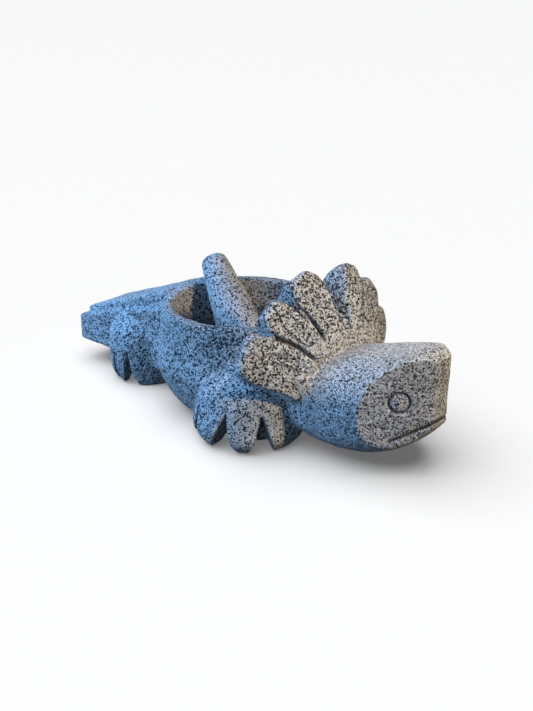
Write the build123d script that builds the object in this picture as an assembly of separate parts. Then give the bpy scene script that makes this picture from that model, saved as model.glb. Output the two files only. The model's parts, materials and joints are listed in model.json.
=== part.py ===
from build123d import *
import os
from math import asin, atan2, copysign, cos, degrees, hypot, pi, radians, sin

# Molcajete: a stone mortar carved as an axolotl, and the loose pestle that stands in its bowl.
# Millimetres, +Z up. The origin is the centre of the bowl's foot, on the surface it stands on.
# +X points to the head and -X to the tail. The limbs come in pairs on either side of the plane
# y = 0, and the six gills, cut by hand, differ a little from one another.

# Bowl
RIM_RADIUS = 90
RIM_HEIGHT = 118
RIM_WIDTH = 13
RIM_ROUND = 4
FOOT_RADIUS = 54
FLOOR_HEIGHT = 27
# radius and height: low on the flank and at the belly outside, then going down the hollow inside
FLANK = (78, 14)
BELLY = (RIM_RADIUS + 5, 50)
HOLLOW_WALL = ((71, 78), (46, 38))

# Neck and head: distance forward, half width, underside height, top height
HEAD_SECTIONS = (
    (60, 48, 26, 96),
    (95, 56, 16, 94),
    (130, 62, 9, 97),
    (165, 63, 6, 107),
    (200, 61, 12, 117),
    (228, 56, 25, 125),
    (248, 46, 42, 126),
    (263, 30, 62, 116),
)
HEAD_SQUARENESS = 2.6
NOSE_X = 257
CHEEK_X, CHEEK_Y = 208, 56
NOSE_HALF_WIDTH = 12
EYE_HEIGHT = 80
EYE_RADIUS = 10
EYE_GROOVE = 1.2
MOUTH_X, MOUTH_Z = 224, 38
MOUTH_SLOPE = 32
MOUTH_GAP = 2.2
MOUTH_DEPTH = 3

# Gill frill: a collar round the neck, and a flared ruff turned about a level axis and cut into petals
COLLAR_HEIGHT = 62
# distance forward, half width, underside height, top height
COLLAR_SECTIONS = (
    (86, 60, 40, 110),
    (112, 74, 42, 128),
    (130, 72, 43, 123),
    (142, 60, 48, 104),
)
# distance forward and distance out from the axis, over the ruff's front, tip and back
RUFF_OUTLINE = ((143, 40), (138, 58), (127, 84), (114, 108), (105, 120), (95, 112), (85, 90), (81, 40))
# a petal's side from root to shoulder: distance out, share of the way from root to shoulder width
PETAL_SIDE = ((40, 0), (60, 0.44), (80, 0.74), (103, 1))
PETAL_CORNER = (116, 0.7)
PETAL_TIP = 122
PLAIN_SIDE = (7.5, 17.5)
LOWEST_SIDE = (31, 24)
# hand-cut petals, near side then far side: angle from upright towards -Y, the half widths at root
# and shoulder of the side that looks up and of the side that looks down, and the added length
PETALS = (
    (64, (7, 24), LOWEST_SIDE, 8),
    (39.5, PLAIN_SIDE, PLAIN_SIDE, 2),
    (17, (9, 26), PLAIN_SIDE, 0),
    (-25, (8, 14), (8, 19), 0),
    (-48.5, (8, 19), (9, 21), 0),
    (-74, (9, 21), LOWEST_SIDE, 0),
)

# Feet: turned outlines as radius and height, with wedge-shaped clefts between the toes, each given
# as the angle it points to, the width of its mouth, and how far its top leans towards the head
FRONT_FOOT = (60, 56)
FRONT_OUTLINE = ((50, 0), (58, 10), (54, 40), (45, 64), (24, 80))
FRONT_CLEFTS = ((-120, 16, 0), (-80, 30, 6), (-33, 26, 0))
REAR_FOOT = (-136, 21)
REAR_OUTLINE = ((39, 0), (45, 12), (46, 42), (43, 62), (30, 77))
REAR_CLEFTS = ((-103, 11, 0), (-75, 19, 0))
CLEFT_HEIGHT = 46
FOOT_CROWN = 4

# Tail: a wedge with a raised slab on top
TAIL_X = -234
TAIL_ROOT_X = -60
TAIL_UNDERSIDE = 25
TAIL_ROOT = (50, 110)
TAIL_TIP = (45, 57)
SLAB_X = -229
SLAB_ROOT_X = -80
SLAB_ROOT = (42, 121)
SLAB_TIP = (35, 66)
TAIL_ROUND = 4

# Pestle: centre of its wide end, then centre of its narrow end, then the two radii
PESTLE_LOW = (3, 5, 58.5)
PESTLE_HIGH = (-64, 22, 140)
PESTLE_WIDE = 30
PESTLE_NARROW = 15.5
PESTLE_CROWN = 12

FAR = 400


def polar_direction(angle):
    """The direction, across and up, at an angle from upright towards -Y."""
    return (-sin(radians(angle)), cos(radians(angle)))


def rounded_outline(half_width, half_height, power, corners=16):
    """Points round a superellipse, the closed outline of a rounded section."""
    points = []
    for k in range(corners):
        turn = 2 * pi * k / corners
        across = copysign(abs(cos(turn)) ** (2 / power), cos(turn))
        up = copysign(abs(sin(turn)) ** (2 / power), sin(turn))
        points.append((half_width * across, half_height * up))
    return points


def section(x, half_width, low, high, power):
    """A rounded upright section across the animal at x."""
    middle = Plane((x, 0, (low + high) / 2), x_dir=(0, 1, 0), z_dir=(1, 0, 0))
    points = rounded_outline(half_width, (high - low) / 2, power)
    return middle * make_face(Spline(*points, periodic=True))


def bowl_blank():
    wall = Spline((FOOT_RADIUS, 0), FLANK, BELLY, (RIM_RADIUS, RIM_HEIGHT - RIM_ROUND),
                  tangents=[(1, 0.2), (-0.04, 1)])
    lip = RadiusArc(wall @ 1, (RIM_RADIUS - RIM_ROUND, RIM_HEIGHT), -RIM_ROUND)
    outline = wall + lip + Polyline(lip @ 1, (0, RIM_HEIGHT), (0, 0), (FOOT_RADIUS, 0))
    return revolve(Plane.XZ * make_face(outline), Axis.Z)


def bowl_hollow():
    mouth = RIM_RADIUS - RIM_WIDTH
    lip = RadiusArc((mouth + RIM_ROUND, RIM_HEIGHT), (mouth, RIM_HEIGHT - RIM_ROUND), -RIM_ROUND)
    wall = Spline(lip @ 1, *HOLLOW_WALL, (0, FLOOR_HEIGHT), tangents=[(-0.03, -1), (-1, 0)])
    top = Polyline(wall @ 1, (0, RIM_HEIGHT + 1), (mouth + RIM_ROUND, RIM_HEIGHT + 1), lip @ 0)
    return revolve(Plane.XZ * make_face(lip + wall + top), Axis.Z)


def head_wedge(inset):
    """All that lies behind the two eye flats and the blunt nose, moved back by inset."""
    along, across = NOSE_X - CHEEK_X, CHEEK_Y - NOSE_HALF_WIDTH
    facing = degrees(atan2(along, across))
    wedge = Pos(NOSE_X - inset, 0, 0) * Box(FAR, FAR, FAR, align=(Align.MAX, Align.CENTER, Align.CENTER))
    for side in (-1, 1):
        plane = Pos(CHEEK_X, side * CHEEK_Y, 0) * Rot(0, 0, side * facing) * Pos(-inset, 0, 0)
        wedge -= plane * Box(FAR, FAR, FAR, align=(Align.MIN, Align.CENTER, Align.CENTER))
    return wedge


def head():
    loaf = loft([section(*sizes, HEAD_SQUARENESS) for sizes in HEAD_SECTIONS])
    shape = loaf & head_wedge(0)
    lips = Pos(MOUTH_X, 0, MOUTH_Z) * Rot(0, -MOUTH_SLOPE, 0)
    lips *= Box(FAR, FAR, MOUTH_GAP, align=(Align.MIN, Align.CENTER, Align.CENTER))
    shape -= lips - head_wedge(MOUTH_DEPTH)
    eye_x, eye_y = (CHEEK_X + NOSE_X) / 2, (CHEEK_Y + NOSE_HALF_WIDTH) / 2
    for side in (-1, 1):
        facing = (CHEEK_Y - NOSE_HALF_WIDTH, side * (NOSE_X - CHEEK_X), 0)
        shape -= Plane((eye_x, side * eye_y, EYE_HEIGHT), z_dir=facing) * Torus(EYE_RADIUS, EYE_GROOVE)
    return shape


def stretched(out, added):
    """A distance out from the neck's axis on a gill that is longer by the added length."""
    root = PETAL_SIDE[0][0]
    return out + added * (out - root) / (PETAL_TIP - root)


def petal_side(root, shoulder):
    """Points up one side of a petal: distance out, distance from its middle."""
    points = [(out, root + share * (shoulder - root)) for out, share in PETAL_SIDE]
    out, share = PETAL_CORNER
    return points + [(out, share * shoulder)]


def petal(angle, upper, lower, added):
    """The space that one gill fills, reaching along X."""
    towards_upright = -copysign(1, angle)
    up_side = [(out, towards_upright * across) for out, across in petal_side(*upper)]
    down_side = [(out, -towards_upright * across) for out, across in petal_side(*lower)]
    corners = (*up_side, (PETAL_TIP, 0), *reversed(down_side))
    edge = Spline(*((stretched(out, added), across) for out, across in corners))
    face = make_face(edge + Line(edge @ 1, edge @ 0))
    across_the_neck = Plane((0, 0, COLLAR_HEIGHT), x_dir=(0, *polar_direction(angle)), z_dir=(1, 0, 0))
    return across_the_neck * extrude(face, FAR)


def ruff(added):
    """The flared disc that the gills are cut from, with their added length."""
    outline = Spline(*((x, stretched(out, added)) for x, out in RUFF_OUTLINE))
    disc = revolve(Plane.XZ * make_face(outline + Line(outline @ 1, outline @ 0)), Axis.X)
    return Pos(0, 0, COLLAR_HEIGHT) * disc


def frill():
    shape = loft([section(*sizes, HEAD_SQUARENESS) for sizes in COLLAR_SECTIONS])
    for angle, upper, lower, added in PETALS:
        shape += ruff(added) & petal(angle, upper, lower, added)
    return shape


def foot(outline, clefts):
    """A domed paw at the origin, reaching towards -Y, with clefts between its toes."""
    profile = Spline(*outline, (0, outline[-1][1] + FOOT_CROWN), tangents=[(1, 1), (-1, 0)])
    edges = profile + Polyline(profile @ 1, (0, 0), outline[0])
    shape = revolve(Plane.XZ * make_face(edges), Axis.Z)
    for angle, mouth, lean in clefts:
        wedge = Polyline((-mouth / 2, -1), (mouth / 2, -1), (lean, CLEFT_HEIGHT), close=True)
        reach = Plane((0, 0, 0), x_dir=(-sin(radians(angle)), cos(radians(angle)), 0),
                      z_dir=(cos(radians(angle)), sin(radians(angle)), 0))
        shape -= reach.offset(outline[0][0] / 2) * extrude(make_face(wedge), FAR)
    return shape


def pair(shape, place):
    """The same limb on the near side and, mirrored, on the far side."""
    near = Pos(place[0], -place[1], 0) * shape
    return near + mirror(near, Plane.XZ)


def wedge_between(root, tip, root_x, tip_x):
    """A tapered block from the body to the tail's end, given half width and top height at each."""
    ends = []
    for x, (half_width, top) in ((root_x, root), (tip_x, tip)):
        face = Rectangle(2 * half_width, top - TAIL_UNDERSIDE)
        face = fillet(face.vertices(), TAIL_ROUND)
        middle = (top + TAIL_UNDERSIDE) / 2
        ends.append(Plane((x, 0, middle), x_dir=(0, 1, 0), z_dir=(1, 0, 0)) * face)
    return loft(ends)


def tail():
    body = wedge_between(TAIL_ROOT, TAIL_TIP, TAIL_ROOT_X, TAIL_X)
    return body + wedge_between(SLAB_ROOT, SLAB_TIP, SLAB_ROOT_X, SLAB_X)


def mortar():
    shape = bowl_blank() + tail()
    shape -= Pos(0, 0, RIM_HEIGHT) * Box(FAR, FAR, FAR, align=(Align.CENTER, Align.CENTER, Align.MIN))
    shape += pair(foot(FRONT_OUTLINE, FRONT_CLEFTS), FRONT_FOOT)
    shape += pair(foot(REAR_OUTLINE, REAR_CLEFTS), REAR_FOOT)
    shape += head()
    shape += frill()
    return shape - bowl_hollow()


def pestle():
    """Two rounded ends joined by a straight taper."""
    lean = [high - low for high, low in zip(PESTLE_HIGH, PESTLE_LOW)]
    length = hypot(*lean)
    taper = asin((PESTLE_WIDE - PESTLE_NARROW) / length)
    low_edge = (PESTLE_WIDE * cos(taper), PESTLE_WIDE * sin(taper))
    high_edge = (PESTLE_NARROW * cos(taper), length + PESTLE_NARROW * sin(taper))
    crown = length + PESTLE_CROWN
    low_end = CenterArc((0, 0), PESTLE_WIDE, -90, 90 + degrees(taper))
    high_end = Spline(high_edge, (0, crown), tangents=[(-sin(taper), cos(taper)), (-1, 0)])
    outline = low_end + Line(low_edge, high_edge) + high_end + Line((0, crown), (0, -PESTLE_WIDE))
    return Plane(PESTLE_LOW, z_dir=lean) * revolve(Plane.XZ * make_face(outline), Axis.Z)


os.makedirs("parts", exist_ok=True)
for name, shape in (("mortar", mortar()), ("pestle", pestle())):
    export_step(shape, f"parts/{name}.step")
    print(name, len(shape.solids()), round(shape.volume / 1000, 1), "cm3")
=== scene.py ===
import json
from math import cos, pi, radians, sin

import bpy
import numpy as np
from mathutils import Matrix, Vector

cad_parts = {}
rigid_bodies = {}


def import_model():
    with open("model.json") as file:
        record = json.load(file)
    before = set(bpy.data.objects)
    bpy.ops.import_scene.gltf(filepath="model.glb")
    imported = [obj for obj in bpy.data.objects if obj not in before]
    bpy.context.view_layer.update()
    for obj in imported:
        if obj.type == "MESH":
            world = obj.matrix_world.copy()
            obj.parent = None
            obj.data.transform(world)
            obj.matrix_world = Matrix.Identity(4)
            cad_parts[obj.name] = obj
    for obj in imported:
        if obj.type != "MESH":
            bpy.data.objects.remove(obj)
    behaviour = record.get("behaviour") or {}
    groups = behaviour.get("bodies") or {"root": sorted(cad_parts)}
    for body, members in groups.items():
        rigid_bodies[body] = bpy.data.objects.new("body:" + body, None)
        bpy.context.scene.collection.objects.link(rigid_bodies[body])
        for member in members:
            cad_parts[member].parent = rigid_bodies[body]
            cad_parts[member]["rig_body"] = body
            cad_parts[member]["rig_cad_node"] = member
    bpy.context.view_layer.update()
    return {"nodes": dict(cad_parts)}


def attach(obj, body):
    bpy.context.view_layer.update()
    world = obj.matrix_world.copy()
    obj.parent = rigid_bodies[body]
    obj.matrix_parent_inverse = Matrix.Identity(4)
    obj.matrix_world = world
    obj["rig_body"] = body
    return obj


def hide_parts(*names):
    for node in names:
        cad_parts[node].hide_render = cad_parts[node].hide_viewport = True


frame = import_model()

# Molcajete: a mortar carved from porous volcanic stone as an axolotl, and its loose pestle.
# Metres, in the frame's own axes: +X to the head, -Y the side nearest the camera, +Z up.

SEED = 7
LARGE_PORE_SEED = SEED + 20
OPEN_PORE_SEED = SEED + 40
# large numbers that scramble a whole-number point and a seed into a random number
POINT_MIXERS = (73856093, 19349663, 83492791)
SEED_MIXER = 2654435761
LAST_MIXER = 1274126177
RANDOM_BITS = 0xFFFFFF

# Camera
VIEW_TURN = radians(42)
VIEW_TILT = radians(22.8)
VIEW_AIM = Vector((0.0902, -0.0627, 0.0979))
VIEW_DISTANCE = 1.0
# the focal length is in the same unit as the frame's width
FOCAL_LENGTH = 1000
FRAME_WIDTH = 533
SENSOR_WIDTH = 36

# Stone surface: size of a mesh cell, and smoothing passes that round the carved edges
MORTAR_CELL = 0.0011
PESTLE_CELL = 0.0010
MORTAR_PASSES = 5
PESTLE_PASSES = 4
GILL_PASSES = 24
SMOOTHING = 0.5
WEAR_PASSES = 6

# Uneven tool marks: the size of the bumps and their height
MORTAR_MARKS = ((0.040, 0.0009), (0.013, 0.0005), (0.005, 0.00022))
PESTLE_MARKS = ((0.030, 0.0004), (0.008, 0.0002))

# Pores cut into the mesh: cell of their grid, smallest and largest radius, and share of cells with one
LARGE_PORES = (0.0060, (0.0009, 0.0022), 0.8)
OPEN_PORES = (0.0038, (0.0009, 0.0016), 0.75)
MORTAR_PORE_DEPTH = 0.0013
PESTLE_PORE_DEPTH = 0.0008

# Gills: angles from upright towards -Y, about the neck's axis
RUFF_HEIGHT = 0.062
PETAL_ANGLES = (64, 39.5, 17, -25, -48.5, -74)
GILL_X = (0.080, 0.145)
GILL_FRONT_X = (0.095, 0.15)
GILL_ROOT, GILL_ROOT_FADE = 0.070, 0.015
FEET_TOP, FEET_FADE = 0.055, 0.010
FORWARD_SHARPNESS = 2.5

# Creases between the gills
CREASE_ANGLES = (50, 28, -10, -37, -61)
CREASE_INNER = 0.056
CREASE_FADE = 0.010
CREASE_LENGTH = 0.05
CREASE_DEPTH = 0.0060
CREASE_WIDTH = 0.0019
CREASE_BEND = 0.0035

# The leaf on each gill: its hollow, its vein, and a scored line on each side of it
LEAF_INNER, LEAF_OUTER = 0.058, 0.114
LEAF_HALF_WIDTH = 0.0095
LEAF_END_SHAPE = 0.7
LEAF_SIDE_SHAPE = 0.6
LEAF_BEND = 0.004
LEAF_DEPTH = 0.0022
VEIN_WIDTH = 0.0020
VEIN_HEIGHT = 0.0024
LEAF_LINE_DEPTH = 0.0011
LEAF_LINE_SPREAD = 0.0105
LEAF_LINE_START = 0.2
# side of the vein, and the share of the leaf's length where the line ends
LEAF_LINE_ENDS = ((-1, 0.9), (1, 0.62))

# Eyes and mouth
EYE_PLACE = (0.2325, 0.034, 0.080)
EYE_RADIUS = 0.010
EYE_DEPTH = 0.0030
MOUTH_START = (0.224, 0.038)
MOUTH_SLOPE = radians(32)
MOUTH_CORNER = 0.004
MOUTH_SHADE = 0.0018

# Rings on the bowl: angle round it and height
RINGS = ((-95, 0.086), (-70, 0.092), (-95, 0.054), (-121, 0.070))
RING_RADIUS = 0.0065
RING_DEPTH = 0.0013
RING_WIDENING = 1.3
BOWL_RADIUS = 0.094
BOWL_MIDDLE = (0, 0, 0.06)
LINE_WIDTH = 0.0010

# Scored lines get painted shade, darker in step with their depth, up to a limit
FULL_SHADE_DEPTH = 0.0040
DEEPEST_LINE_SHADE = 0.85

# The stone is cut finer, with smaller pores, from here to the nose
FINER_FROM, FINER_FADE = 0.135, 0.03
# The stone is most open on the gills and on the front of the rim
OPEN_RIM_HEIGHT, OPEN_RIM_HEIGHT_FADE = 0.088, 0.012
OPEN_RIM_X, OPEN_RIM_X_FADE = -0.02, 0.05

# Pores drawn by the material, dark with painted shade: cells to a metre, smallest and largest radius in a
# cell, and soft edge
FINE_PORES = (640, 0.15, 0.58, 0.06)
MIDDLE_PORES = (420, 0.05, 0.58, 0.05)
FINEST_PORES = (760, 0.20, 0.62, 0.08)
SMALL_PORES = (520, 0.05, 0.56, 0.06)
WIDE_PORES = (390, 0.05, 0.50, 0.05)
# how dark the painted shade is in each kind of pore
FINE_DARKNESS = 0.9
FINEST_DARKNESS = 0.8
LARGE_DARKNESS = 0.85
MORTAR_PORE_SHARE = 1.0
PESTLE_PORE_SHARE = 0.94
PORE_BEND_SCALE = 380
PORE_BEND = 0.0017

# Stone colours and finish
MORTAR_PALE, MORTAR_DARK = (0.40, 0.395, 0.39, 1), (0.30, 0.298, 0.295, 1)
PESTLE_PALE, PESTLE_DARK = (0.53, 0.525, 0.52, 1), (0.43, 0.428, 0.425, 1)
GRAIN_COLOUR = (0.74, 0.73, 0.72, 1)
WORN_COLOUR = (0.58, 0.575, 0.56, 1)
# painted shade, near black, inside the pores and the scored lines
PORE_SHADE_COLOUR = (0.018, 0.017, 0.017, 1)
PATCH_SCALE, GRAIN_SCALE, ROUGHNESS_SCALE = 22, 900, 160
# noise values, and depths in a pit, between which each of them goes from none to full
PATCH_RANGE = (0.35, 0.65)
GRAIN_RANGE = ROUGHNESS_RANGE = (0.3, 0.7)
PIT_RANGE = (0.25, 0.75)
NOISE_DETAIL, GRAIN_DETAIL, BEND_DETAIL = 3.0, 2.0, 1.0
NOISE_ROUGHNESS = 0.55
GRAIN_SHARE = 0.55
GRAIN_HEIGHT = 0.22
WORN_SHARE = 0.35
WEAR_START, WEAR_FULL = 0.00015, 0.0008
SMOOTHEST, ROUGHEST = 0.78, 0.95
SPECULAR = 0.3
BUMP_STRENGTH = 0.9
BUMP_DISTANCE = 0.0009

# Light colours
WARM = (1.0, 0.79, 0.52)
NEUTRAL = (1.0, 0.95, 0.88)
BLUE = (0.23, 0.52, 1.0)
PALE_BLUE = (0.33, 0.62, 1.0)
# Soft boxes: name, direction from the object, distance, size, power and colour
SOFTBOXES = (
    ("warm_key", (0.86, 0.06, 0.46), 2.0, 0.16, 27, WARM),
    ("front_fill", (0.40, -0.80, 0.30), 1.5, 0.8, 6.5, PALE_BLUE),
    ("blue_side", (-0.60, -0.75, 0.35), 1.3, 0.9, 21, BLUE),
    ("back_fill", (-0.45, 0.90, 0.12), 1.8, 0.9, 17, NEUTRAL),
)
# Spots: name, place, target, cone in degrees, lamp size, power and colour
SPOTS = (
    ("blue_top", (-0.65, -0.15, 0.85), (-0.20, -0.02, 0.09), 30, 0.22, 80, BLUE),
    ("head_top", (0.38, -0.02, 0.74), (0.21, -0.02, 0.11), 32, 0.05, 16, NEUTRAL),
    ("gill_edge", (0.00, -0.70, 0.70), (0.105, -0.080, 0.115), 9, 0.10, 24, BLUE),
)
SPOT_SOFTNESS = 0.8
# Suns that light only the floor: name, strength, spread in degrees, and whether they cast shadows
FLOOR_SUNS = (
    ("floor_light", 3.2, 80, True),
    ("floor_lift", 0.5, 5, False),
)
FLOOR_SUN_DIRECTION = (-0.15, -0.2, 1)
# the white that the camera sees behind the floor, and the dim light that falls from all round
BACKDROP_COLOUR, BACKDROP_STRENGTH = (1, 1, 1, 1), 1.0
CAST_COLOUR, CAST_STRENGTH = (0.35, 0.62, 1, 1), 0.012

# Floor
FLOOR_RADIUS = 14
FLOOR_RINGS, FLOOR_TURNS = 6, 96
FLOOR_WIDENING = 2.5
FLOOR_COLOUR = (0.86, 0.86, 0.86, 1)
FLOOR_ROUGHNESS = 0.8


# ---------------------------------------------------------------- numbers on points

def ramp(values, start, length):
    """0 up to start, then rising to 1 over length."""
    return np.clip((values - start) / length, 0, 1)


def ridge(distance, width):
    """1 on a line, falling to 0 at about twice the width from it."""
    return np.exp(-(distance / width) ** 2)


def lattice(points, seed):
    """A repeatable random number from 0 to 1 at whole-number points."""
    a, b, c = (points[..., k].astype(np.int64) * POINT_MIXERS[k] for k in range(3))
    mixed = a ^ b ^ c ^ (seed * SEED_MIXER)
    mixed = (mixed ^ (mixed >> 13)) * LAST_MIXER
    return ((mixed ^ (mixed >> 16)) & RANDOM_BITS) / RANDOM_BITS


def soft_noise(points, size, seed):
    """Smooth noise from -1 to 1 with bumps about as large as size."""
    scaled = points / size
    low = np.floor(scaled)
    part = scaled - low
    part = part * part * (3 - 2 * part)
    total = np.zeros(len(points))
    for corner in np.ndindex(2, 2, 2):
        corner = np.array(corner)
        weight = np.prod(np.where(corner == 1, part, 1 - part), axis=1)
        total += weight * lattice(low + corner, seed)
    return 2 * total - 1


def pits(points, kind, seed):
    """Depth from 0 to 1 inside round pits, one at most in each cell of a jittered grid."""
    size, (smallest, largest), share = kind
    scaled = points / size
    low = np.floor(scaled)
    depth = np.zeros(len(points))
    for step in np.ndindex(3, 3, 3):
        cell = low + np.array(step) - 1
        jitter = np.stack([lattice(cell, seed + k) for k in range(3)], axis=1)
        distance = np.linalg.norm(scaled - cell - jitter, axis=1) * size
        radius = smallest + (largest - smallest) * lattice(cell, seed + 3) ** 2
        present = lattice(cell, seed + 4) < share
        bowl = np.clip(1 - (distance / radius) ** 2, 0, 1) ** 0.5
        depth = np.maximum(depth, np.where(present, bowl, 0))
    return depth


# ---------------------------------------------------------------- stone meshes

def remeshed(node, name, cell):
    """A copy of a CAD node's surface as an even mesh of small square cells."""
    piece = frame["nodes"][node].copy()
    piece.data = piece.data.copy()
    piece.name = name
    piece.data.name = name
    piece.data.materials.clear()
    piece.parent = None
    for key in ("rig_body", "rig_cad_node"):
        del piece[key]
    bpy.context.scene.collection.objects.link(piece)
    modifier = piece.modifiers.new("cells", "REMESH")
    modifier.mode = "VOXEL"
    modifier.voxel_size = cell
    modifier.use_smooth_shade = True
    bpy.context.view_layer.update()
    evaluated = piece.evaluated_get(bpy.context.evaluated_depsgraph_get())
    mesh = bpy.data.meshes.new_from_object(evaluated)
    piece.modifiers.clear()
    piece.data = mesh
    mesh.name = name
    return piece


def positions(piece):
    points = np.zeros(len(piece.data.vertices) * 3)
    piece.data.vertices.foreach_get("co", points)
    return points.reshape(-1, 3)


def normals(piece):
    directions = np.zeros(len(piece.data.vertices) * 3)
    piece.data.vertices.foreach_get("normal", directions)
    return directions.reshape(-1, 3)


def move_to(piece, points):
    piece.data.vertices.foreach_set("co", points.ravel())
    piece.data.update()


def neighbours(piece):
    pairs = np.zeros(len(piece.data.edges) * 2, dtype=np.int64)
    piece.data.edges.foreach_get("vertices", pairs)
    return pairs.reshape(-1, 2)


def averaged(values, pairs):
    """Each vertex's value, replaced by the mean of its neighbours' values."""
    one, two = pairs[:, 0], pairs[:, 1]
    count = np.bincount(pairs.ravel(), minlength=len(values))
    columns = []
    for k in range(values.shape[1]):
        column = np.bincount(one, values[two, k], len(values))
        column += np.bincount(two, values[one, k], len(values))
        columns.append(column / np.maximum(count, 1))
    return np.stack(columns, axis=1)


def rounded(piece, passes, share=SMOOTHING):
    """Smooths the surface; share is how far each vertex moves in a pass, one number or one for each."""
    points, pairs = positions(piece), neighbours(piece)
    for _ in range(passes):
        points += share * (averaged(points, pairs) - points)
    move_to(piece, points)


def edge_wear(piece):
    """How far each vertex stands out from the surface around it: above 0 on edges, below 0 in hollows."""
    points, pairs = positions(piece), neighbours(piece)
    smooth = points
    for _ in range(WEAR_PASSES):
        smooth = averaged(smooth, pairs)
    return np.sum((points - smooth) * normals(piece), axis=1)


def keep_number(piece, name, values):
    """Stores a number at each vertex, where the material can read it."""
    attribute = piece.data.attributes.new(name, "FLOAT", "POINT")
    values = np.broadcast_to(values, len(piece.data.vertices))
    attribute.data.foreach_set("value", values.astype(np.float32))


# ---------------------------------------------------------------- places on the stone

def on_gills(points):
    """1 on the gills beyond the collar, 0 on the rest of the stone."""
    out = np.hypot(points[:, 1], points[:, 2] - RUFF_HEIGHT)
    ruff = (points[:, 0] > GILL_X[0]) & (points[:, 0] < GILL_X[1])
    above_feet = ramp(points[:, 2], FEET_TOP, FEET_FADE)
    return ruff * above_feet * ramp(out, GILL_ROOT, GILL_ROOT_FADE)


def gill_fronts(points, facing):
    """1 where the gills' surface faces forward, 0 on the rest of the stone."""
    between = (points[:, 0] > GILL_FRONT_X[0]) * (points[:, 0] < GILL_FRONT_X[1])
    return np.clip(facing[:, 0] * FORWARD_SHARPNESS, 0, 1) * between


def along_gill(points, angle):
    """Distance out from the neck's axis along a gill, and distance to the side of the gill's middle."""
    outward = np.array([-sin(radians(angle)), cos(radians(angle))])
    sideways = np.array([-outward[1], outward[0]])
    across_neck = points[:, 1:] - np.array([0, RUFF_HEIGHT])
    return across_neck @ outward, across_neck @ sideways


def most_open(points):
    """1 where the stone is most open, on the gills and the front of the rim, 0 on the rest."""
    rim = ramp(points[:, 2], OPEN_RIM_HEIGHT, OPEN_RIM_HEIGHT_FADE)
    rim = rim * ramp(points[:, 0], OPEN_RIM_X, OPEN_RIM_X_FADE) * (points[:, 0] < FINER_FROM)
    return np.maximum(on_gills(points), rim)


def surface_point(points, facing, target):
    """The place on the outside of the stone nearest to a target point."""
    away = np.linalg.norm(points - target, axis=1)
    outside = np.sum(facing * (points - np.array(BOWL_MIDDLE)), axis=1) > 0
    return points[np.argmin(np.where(outside, away, np.inf))]


# ---------------------------------------------------------------- carved details

def leaf_hollows(points, facing):
    """A leaf-shaped hollow with a raised vein, on the front of each gill."""
    offset = np.zeros(len(points))
    front = gill_fronts(points, facing)
    for number, angle in enumerate(PETAL_ANGLES):
        out, aside = along_gill(points, angle)
        along = (out - LEAF_INNER) / (LEAF_OUTER - LEAF_INNER)
        inside = (along > 0) & (along < 1)
        arch = np.sin(pi * np.clip(along, 0, 1))
        aside = aside - LEAF_BEND * arch * (1 if number % 2 else -1)
        half = LEAF_HALF_WIDTH * arch ** LEAF_END_SHAPE + 1e-6
        hollow = np.clip(1 - (aside / half) ** 2, 0, 1) ** LEAF_SIDE_SHAPE
        vein = ridge(aside, VEIN_WIDTH) * np.clip(4 * along * (1 - along), 0, 1)
        offset += np.where(inside, front * (VEIN_HEIGHT * vein - LEAF_DEPTH * hollow), 0)
    return offset


def leaf_lines(points, facing):
    """Two fine lines scored along each gill, either side of its vein, that meet at its root."""
    offset = np.zeros(len(points))
    front = gill_fronts(points, facing)
    for angle in PETAL_ANGLES:
        out, aside = along_gill(points, angle)
        along = (out - LEAF_INNER) / (LEAF_OUTER - LEAF_INNER)
        spread = LEAF_LINE_SPREAD * np.clip(along, 0, 1) ** LEAF_SIDE_SHAPE
        for side, end in LEAF_LINE_ENDS:
            ends = ramp(along, LEAF_LINE_START, LEAF_LINE_START) * ramp(-along, -end, LEAF_LINE_START)
            offset -= LEAF_LINE_DEPTH * front * ends * ridge(aside - side * spread, LINE_WIDTH)
    return offset


def creases(points, facing):
    """Deep narrow slots between neighbouring gills, from the collar outwards."""
    offset = np.zeros(len(points))
    front = gill_fronts(points, facing)
    for angle in CREASE_ANGLES:
        out, aside = along_gill(points, angle)
        bend = np.copysign(CREASE_BEND, angle) * np.sin(pi * ramp(out, CREASE_INNER, CREASE_LENGTH))
        line = front * ramp(out, CREASE_INNER, CREASE_FADE) * ridge(aside + bend, CREASE_WIDTH)
        offset -= CREASE_DEPTH * line
    return offset


def eye_rings(points):
    offset = np.zeros(len(points))
    for side in (-1, 1):
        centre = np.array(EYE_PLACE) * (1, side, 1)
        away = np.linalg.norm(points - centre, axis=1)
        offset -= EYE_DEPTH * ridge(away - EYE_RADIUS, LINE_WIDTH)
    return offset


def mouth_line(points):
    """1 in the mouth's slot and 0 away from it: how much painted shade the slot gets."""
    x, z = points[:, 0] - MOUTH_START[0], points[:, 2] - MOUTH_START[1]
    above = z * cos(MOUTH_SLOPE) - x * sin(MOUTH_SLOPE)
    return ramp(x, 0, MOUTH_CORNER) * ridge(above, MOUTH_SHADE)


def skin_rings(points, facing):
    """Faint rings engraved on both flanks of the bowl."""
    offset = np.zeros(len(points))
    for angle, height in RINGS:
        across, along = BOWL_RADIUS * cos(radians(angle)), BOWL_RADIUS * sin(radians(angle))
        for side in (1, -1):
            centre = surface_point(points, facing, np.array((across, side * along, height)))
            away = np.linalg.norm(points - centre, axis=1)
            offset -= RING_DEPTH * ridge(away - RING_RADIUS, RING_WIDENING * LINE_WIDTH)
    return offset


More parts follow.
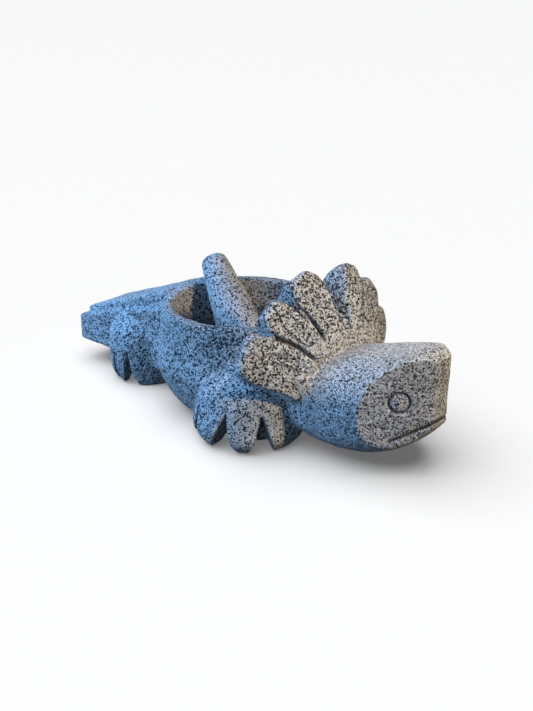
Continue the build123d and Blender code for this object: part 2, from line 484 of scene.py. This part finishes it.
def carve(piece, marks, pore_depth, hollows=(), scored=(), slot=0, open_share=0):
    """Moves the surface along its normals: hollows, scored lines, tool marks and the larger pores.

    The slot is already in the surface, and only gets painted shade."""
    points, facing = positions(piece), normals(piece)
    offset = sum(hollows + scored, np.zeros(len(points)))
    for size, height in marks:
        offset += height * soft_noise(points, size, SEED)
    # painted shade in the scored lines, creases and rings, darker the deeper they are cut, and in the
    # mouth's slot
    depth = -sum(scored, np.zeros(len(points)))
    groove_shade = np.maximum(np.clip(depth / FULL_SHADE_DEPTH, 0, DEEPEST_LINE_SHADE), slot)
    # the larger pores are sunk into the surface, and the material paints shade inside them
    hole = pits(points, LARGE_PORES, LARGE_PORE_SEED)
    hole = np.maximum(hole, open_share * pits(points, OPEN_PORES, OPEN_PORE_SEED))
    offset -= pore_depth * hole
    points = points + facing * offset[:, None]
    points[:, 2] = np.maximum(points[:, 2], 0)
    move_to(piece, points)
    keep_number(piece, "hole", hole)
    keep_number(piece, "groove_shade", groove_shade)
    keep_number(piece, "open", open_share)
    keep_number(piece, "finer", ramp(points[:, 0], FINER_FROM, FINER_FADE))
    keep_number(piece, "wear", edge_wear(piece))


# ---------------------------------------------------------------- shader nodes

def attribute(tree, name):
    """A number stored at the mesh's vertices."""
    made = tree.nodes.new("ShaderNodeAttribute")
    made.attribute_name = name
    return made.outputs["Fac"]


def mapped(tree, source, low, high, to_low, to_high):
    """A number's range mapped to another, clamped at both ends."""
    made = tree.nodes.new("ShaderNodeMapRange")
    made.interpolation_type = "SMOOTHSTEP"
    for key, value in (("From Min", low), ("From Max", high), ("To Min", to_low), ("To Max", to_high)):
        made.inputs[key].default_value = value
    tree.links.new(source, made.inputs["Value"])
    return made.outputs["Result"]


def maths(tree, operation, *values):
    made = tree.nodes.new("ShaderNodeMath")
    made.operation = operation
    for socket, value in zip(made.inputs, values):
        if isinstance(value, (int, float)):
            socket.default_value = value
        else:
            tree.links.new(value, socket)
    return made.outputs[0]


def darkest(tree, *values):
    """The largest of several pore values."""
    largest = values[0]
    for value in values[1:]:
        largest = maths(tree, "MAXIMUM", largest, value)
    return largest


def blended(tree, share, one, two):
    """A colour between two others."""
    made = tree.nodes.new("ShaderNodeMix")
    made.data_type = "RGBA"
    for socket, value in ((made.inputs[0], share), (made.inputs[6], one), (made.inputs[7], two)):
        if isinstance(value, tuple):
            socket.default_value = value
        else:
            tree.links.new(value, socket)
    return made.outputs[2]


def noise(tree, place, scale, detail=NOISE_DETAIL):
    made = tree.nodes.new("ShaderNodeTexNoise")
    made.inputs["Scale"].default_value = scale
    made.inputs["Detail"].default_value = detail
    made.inputs["Roughness"].default_value = NOISE_ROUGHNESS
    tree.links.new(place, made.inputs["Vector"])
    return made.outputs["Fac"]


def pores(tree, place, kind, share=1.0):
    """1 inside pores of random size, 0 on the stone between them."""
    scale, smallest, largest, softness = kind
    cells = tree.nodes.new("ShaderNodeTexVoronoi")
    cells.inputs["Scale"].default_value = scale
    tree.links.new(place, cells.inputs["Vector"])
    split = tree.nodes.new("ShaderNodeSeparateColor")
    tree.links.new(cells.outputs["Color"], split.inputs[0])
    radius = mapped(tree, split.outputs[0], 0.0, 1.0, smallest, largest * share)
    gap = maths(tree, "SUBTRACT", radius, cells.outputs["Distance"])
    return mapped(tree, gap, 0.0, softness, 0.0, 1.0)


def vector_maths(tree, operation, source):
    made = tree.nodes.new("ShaderNodeVectorMath")
    made.operation = operation
    tree.links.new(source, made.inputs[0])
    return made


def warped(tree, place, scale, amount):
    """A position shifted by noise, which makes round pores uneven."""
    shift = tree.nodes.new("ShaderNodeTexNoise")
    shift.inputs["Scale"].default_value = scale
    shift.inputs["Detail"].default_value = BEND_DETAIL
    tree.links.new(place, shift.inputs["Vector"])
    centred = vector_maths(tree, "SUBTRACT", shift.outputs["Color"])
    centred.inputs[1].default_value = (0.5, 0.5, 0.5)
    scaled = vector_maths(tree, "SCALE", centred.outputs[0])
    scaled.inputs["Scale"].default_value = amount
    total = vector_maths(tree, "ADD", place)
    tree.links.new(scaled.outputs[0], total.inputs[1])
    return total.outputs[0]


# ---------------------------------------------------------------- materials

def all_pores(tree, place, share):
    """The lines and pores, dark with painted shade and sunk in the bump: pores coarse on the body, close
    on the head and wide on the gills.
    """
    bent = warped(tree, place, PORE_BEND_SCALE, PORE_BEND)
    fine = maths(tree, "MULTIPLY", pores(tree, bent, FINE_PORES, share), FINE_DARKNESS)
    coarse = darkest(tree, fine, pores(tree, bent, MIDDLE_PORES, share))
    finest = maths(tree, "MULTIPLY", pores(tree, bent, FINEST_PORES, share), FINEST_DARKNESS)
    close = darkest(tree, finest, pores(tree, bent, SMALL_PORES, share))
    step = maths(tree, "MULTIPLY", attribute(tree, "finer"), maths(tree, "SUBTRACT", close, coarse))
    graded = maths(tree, "ADD", coarse, step)
    # painted shade inside the larger pores sunk into the mesh
    large = mapped(tree, attribute(tree, "hole"), *PIT_RANGE, 0, 1)
    large = maths(tree, "MULTIPLY", large, LARGE_DARKNESS)
    wide = maths(tree, "MULTIPLY", pores(tree, bent, WIDE_PORES), attribute(tree, "open"))
    return darkest(tree, graded, large, wide, attribute(tree, "groove_shade"))


def stone(name, pale, dark, pore_share):
    """Porous volcanic stone: grey patches and grains, pale worn edges, and pores and scored lines dark
    with painted shade.
    """
    material = bpy.data.materials.new(name)
    material.use_nodes = True
    tree = material.node_tree
    shader = tree.nodes["Principled BSDF"]
    place = tree.nodes.new("ShaderNodeTexCoord").outputs["Object"]

    patches = mapped(tree, noise(tree, place, PATCH_SCALE), *PATCH_RANGE, 0, 1)
    grains = mapped(tree, noise(tree, place, GRAIN_SCALE, GRAIN_DETAIL), *GRAIN_RANGE, 0, 1)
    worn = mapped(tree, attribute(tree, "wear"), WEAR_START, WEAR_FULL, 0, WORN_SHARE)
    dents_and_shade = all_pores(tree, place, pore_share)
    colour = blended(tree, patches, dark, pale)
    colour = blended(tree, maths(tree, "MULTIPLY", grains, GRAIN_SHARE), colour, GRAIN_COLOUR)
    colour = blended(tree, worn, colour, WORN_COLOUR)
    # painted shade in the pores and the scored lines
    colour = blended(tree, dents_and_shade, colour, PORE_SHADE_COLOUR)
    tree.links.new(colour, shader.inputs["Base Color"])

    rough = mapped(tree, noise(tree, place, ROUGHNESS_SCALE), *ROUGHNESS_RANGE, SMOOTHEST, ROUGHEST)
    tree.links.new(rough, shader.inputs["Roughness"])
    shader.inputs["Specular IOR Level"].default_value = SPECULAR

    height = maths(tree, "SUBTRACT", maths(tree, "MULTIPLY", grains, GRAIN_HEIGHT), dents_and_shade)
    bump = tree.nodes.new("ShaderNodeBump")
    bump.inputs["Strength"].default_value = BUMP_STRENGTH
    bump.inputs["Distance"].default_value = BUMP_DISTANCE
    tree.links.new(height, bump.inputs["Height"])
    tree.links.new(bump.outputs["Normal"], shader.inputs["Normal"])
    return material


def pale_paint():
    material = bpy.data.materials.new("pale_floor")
    material.use_nodes = True
    shader = material.node_tree.nodes["Principled BSDF"]
    shader.inputs["Base Color"].default_value = FLOOR_COLOUR
    shader.inputs["Roughness"].default_value = FLOOR_ROUGHNESS
    return material


# ---------------------------------------------------------------- the two stones

def mortar_stone():
    piece = remeshed("mortar", "mortar_stone", MORTAR_CELL)
    rounded(piece, MORTAR_PASSES)
    rounded(piece, GILL_PASSES, SMOOTHING * on_gills(positions(piece))[:, None])
    points, facing = positions(piece), normals(piece)
    scored = (eye_rings(points), skin_rings(points, facing), leaf_lines(points, facing),
              creases(points, facing))
    carve(piece, MORTAR_MARKS, MORTAR_PORE_DEPTH, (leaf_hollows(points, facing),), scored,
          mouth_line(points), most_open(points))
    piece.data.materials.append(stone("porous_stone", MORTAR_PALE, MORTAR_DARK, MORTAR_PORE_SHARE))
    return piece


def pestle_stone():
    piece = remeshed("pestle", "pestle_stone", PESTLE_CELL)
    rounded(piece, PESTLE_PASSES)
    carve(piece, PESTLE_MARKS, PESTLE_PORE_DEPTH)
    piece.data.materials.append(stone("pestle_stone", PESTLE_PALE, PESTLE_DARK, PESTLE_PORE_SHARE))
    return piece


# ---------------------------------------------------------------- stage

def floor_disc():
    """A wide pale floor, made as rings that get wider outwards."""
    points = [(0, 0, 0)]
    for ring in range(1, FLOOR_RINGS + 1):
        reach = FLOOR_RADIUS * (ring / FLOOR_RINGS) ** FLOOR_WIDENING
        for k in range(FLOOR_TURNS):
            turn = 2 * pi * k / FLOOR_TURNS
            points.append((reach * cos(turn), reach * sin(turn), 0))
    faces = [(0, 1 + k, 1 + (k + 1) % FLOOR_TURNS) for k in range(FLOOR_TURNS)]
    for ring in range(FLOOR_RINGS - 1):
        inner, outer = 1 + ring * FLOOR_TURNS, 1 + (ring + 1) * FLOOR_TURNS
        for k in range(FLOOR_TURNS):
            after = (k + 1) % FLOOR_TURNS
            faces.append((inner + k, outer + k, outer + after, inner + after))
    mesh = bpy.data.meshes.new("floor")
    mesh.from_pydata(points, [], faces)
    mesh.materials.append(pale_paint())
    floor = bpy.data.objects.new("floor", mesh)
    bpy.context.scene.collection.objects.link(floor)
    # the floor throws no light back on to the stone
    floor.visible_diffuse = False
    return floor


def place_light(data, place, towards, receivers):
    """Puts a light at a place, shining away from the direction given, on the receivers only."""
    light = bpy.data.objects.new(data.name, data)
    light.location = place
    light.rotation_euler = Vector(towards).to_track_quat("Z", "Y").to_euler()
    bpy.context.scene.collection.objects.link(light)
    group = bpy.data.collections.new(light.name + "_lights")
    for receiver in receivers:
        group.objects.link(receiver)
    light.light_linking.receiver_collection = group


def softbox(name, direction, distance, size, power, colour, receivers):
    data = bpy.data.lights.new(name, "AREA")
    data.shape = "DISK"
    data.size = size
    data.energy = power
    data.color = colour
    towards = Vector(direction).normalized()
    place_light(data, VIEW_AIM + distance * towards, towards, receivers)


def spot(name, place, target, cone, size, power, colour, receivers):
    data = bpy.data.lights.new(name, "SPOT")
    data.energy = power
    data.color = colour
    data.shadow_soft_size = size
    data.spot_size = radians(cone)
    data.spot_blend = SPOT_SOFTNESS
    place_light(data, place, Vector(place) - Vector(target), receivers)


def floor_sun(name, strength, spread, shadows, floor):
    data = bpy.data.lights.new(name, "SUN")
    data.energy = strength
    data.angle = radians(spread)
    data.use_shadow = shadows
    place_light(data, (0, 0, 0), FLOOR_SUN_DIRECTION, (floor,))


def background(tree, colour, strength):
    made = tree.nodes.new("ShaderNodeBackground")
    made.inputs["Color"].default_value = colour
    made.inputs["Strength"].default_value = strength
    return made.outputs[0]


def surroundings():
    """A white backdrop for the camera, and a dim cool light all round."""
    world = bpy.data.worlds.new("studio")
    world.use_nodes = True
    tree = world.node_tree
    tree.nodes.clear()
    path = tree.nodes.new("ShaderNodeLightPath")
    mix = tree.nodes.new("ShaderNodeMixShader")
    output = tree.nodes.new("ShaderNodeOutputWorld")
    tree.links.new(path.outputs["Is Camera Ray"], mix.inputs[0])
    tree.links.new(background(tree, CAST_COLOUR, CAST_STRENGTH), mix.inputs[1])
    tree.links.new(background(tree, BACKDROP_COLOUR, BACKDROP_STRENGTH), mix.inputs[2])
    tree.links.new(mix.outputs[0], output.inputs["Surface"])
    bpy.context.scene.world = world


def camera():
    data = bpy.data.cameras.new("camera")
    data.sensor_fit = "HORIZONTAL"
    data.sensor_width = SENSOR_WIDTH
    data.lens = FOCAL_LENGTH / FRAME_WIDTH * SENSOR_WIDTH
    back = Vector((sin(VIEW_TURN) * cos(VIEW_TILT), -cos(VIEW_TURN) * cos(VIEW_TILT), sin(VIEW_TILT)))
    made = bpy.data.objects.new("camera", data)
    made.location = VIEW_AIM + VIEW_DISTANCE * back
    made.rotation_euler = back.to_track_quat("Z", "Y").to_euler()
    bpy.context.scene.collection.objects.link(made)
    bpy.context.scene.camera = made


# ---------------------------------------------------------------- the model

camera()

mortar = mortar_stone()
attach(mortar, "mortar")
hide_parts("mortar")

pestle = pestle_stone()
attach(pestle, "pestle")
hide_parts("pestle")

floor = floor_disc()
for settings in SOFTBOXES:
    softbox(*settings, (mortar, pestle))
for settings in SPOTS:
    spot(*settings, (mortar, pestle))
for settings in FLOOR_SUNS:
    floor_sun(*settings, floor)
surroundings()
bpy.context.scene.view_settings.view_transform = "Standard"
